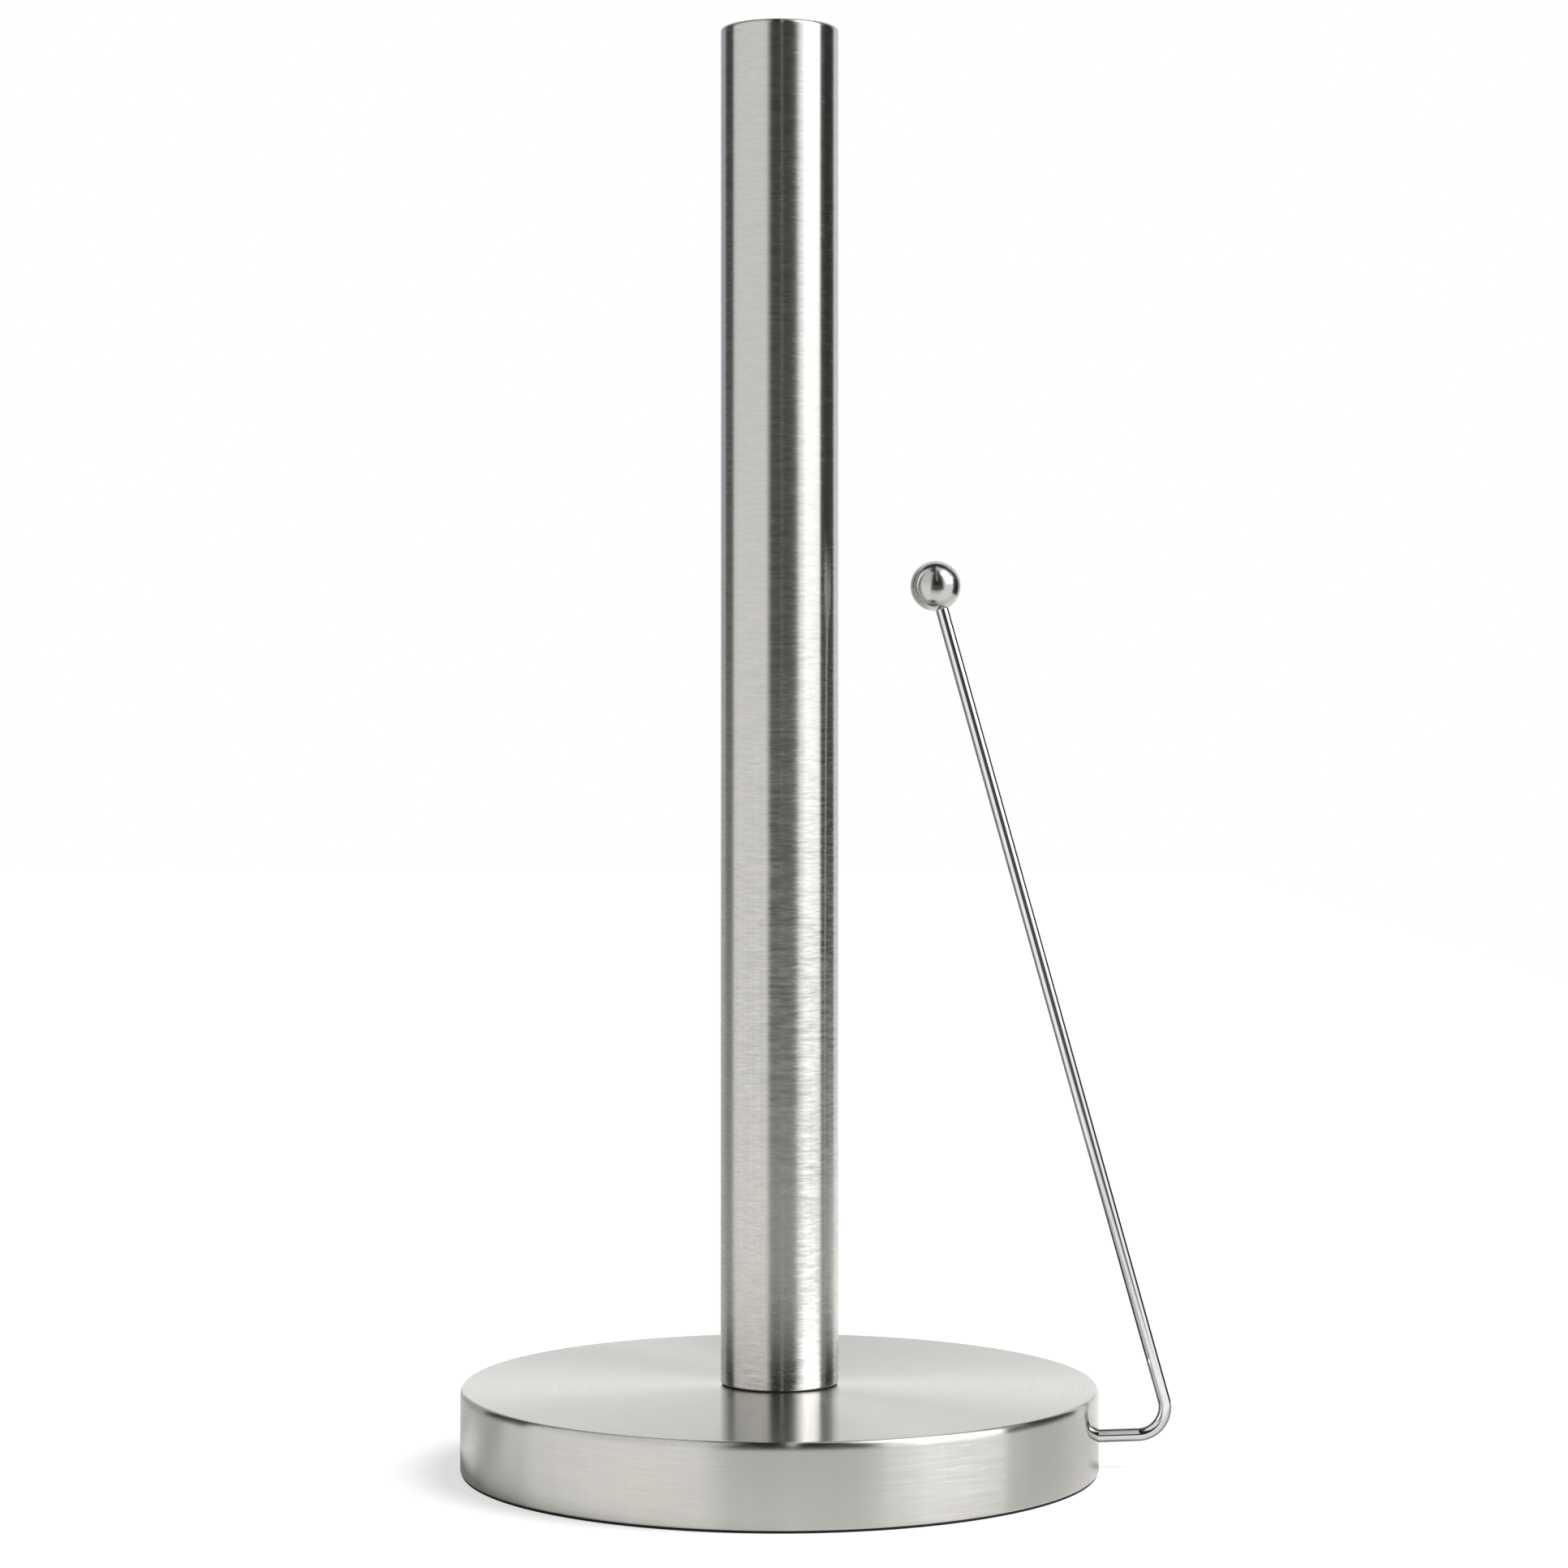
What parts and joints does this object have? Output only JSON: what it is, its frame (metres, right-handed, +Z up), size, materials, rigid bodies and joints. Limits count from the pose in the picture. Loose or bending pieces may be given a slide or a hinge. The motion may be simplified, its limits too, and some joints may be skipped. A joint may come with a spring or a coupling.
{
  "type": "paper towel holder",
  "caption": "Free-standing paper towel holder: a round weighted base, a closed tube post for the roll, and a sprung bent-wire arm whose ball tip leans on the roll.",
  "frame": {"origin": "centre of the underside of the foot pad, on the table and on the axis of the post", "axes": "+Z up along the post; +X towards the arm's elbow; the arm lies in the plane y = 0"},
  "size_m": [0.1908, 0.171, 0.3866],
  "materials": {
    "brushed_steel": "brushed stainless steel, grain round the axis",
    "polished_steel": "polished stainless steel",
    "zinc_steel": "zinc-plated steel, satin",
    "spring_steel": "oiled dark spring steel",
    "cast_iron": "cast iron, dipped black",
    "rubber": "matt black rubber",
    "black_plastic": "moulded black nylon",
    "white_plastic": "moulded natural acetal"
  },
  "bodies": {
    "stand": {"base_shell": "brushed_steel", "weight": "cast_iron", "closing_plate": "zinc_steel", "plate_screws": "zinc_steel", "foot_pad": "rubber", "post_tube": "brushed_steel", "post_cap": "brushed_steel", "post_plug": "zinc_steel", "post_gasket": "rubber", "post_bolt": "zinc_steel", "flat_washer": "zinc_steel", "lock_washer": "zinc_steel", "slot_liner": "black_plastic", "hinge_bracket": "zinc_steel", "bracket_screws": "zinc_steel", "hinge_pin": "zinc_steel", "pin_clips": "spring_steel", "pin_sleeves": "white_plastic", "arm_spring": "spring_steel", "arm_stop": "rubber"},
    "arm": {"arm_lever": "zinc_steel", "lever_screw": "spring_steel", "arm_wire": "polished_steel", "arm_ball": "polished_steel"}
  },
  "joints": [
    {"name": "arm_tilt", "type": "hinge", "parent": "stand", "child": "arm", "pos_m": [0.068, 0, 0.0079], "axis": [0, 1, 0], "range_deg": [0, 10], "stiffness_Nm_per_rad": 0.49, "springref_deg": -53.86, "deforming": ["arm_spring"]}
  ]
}
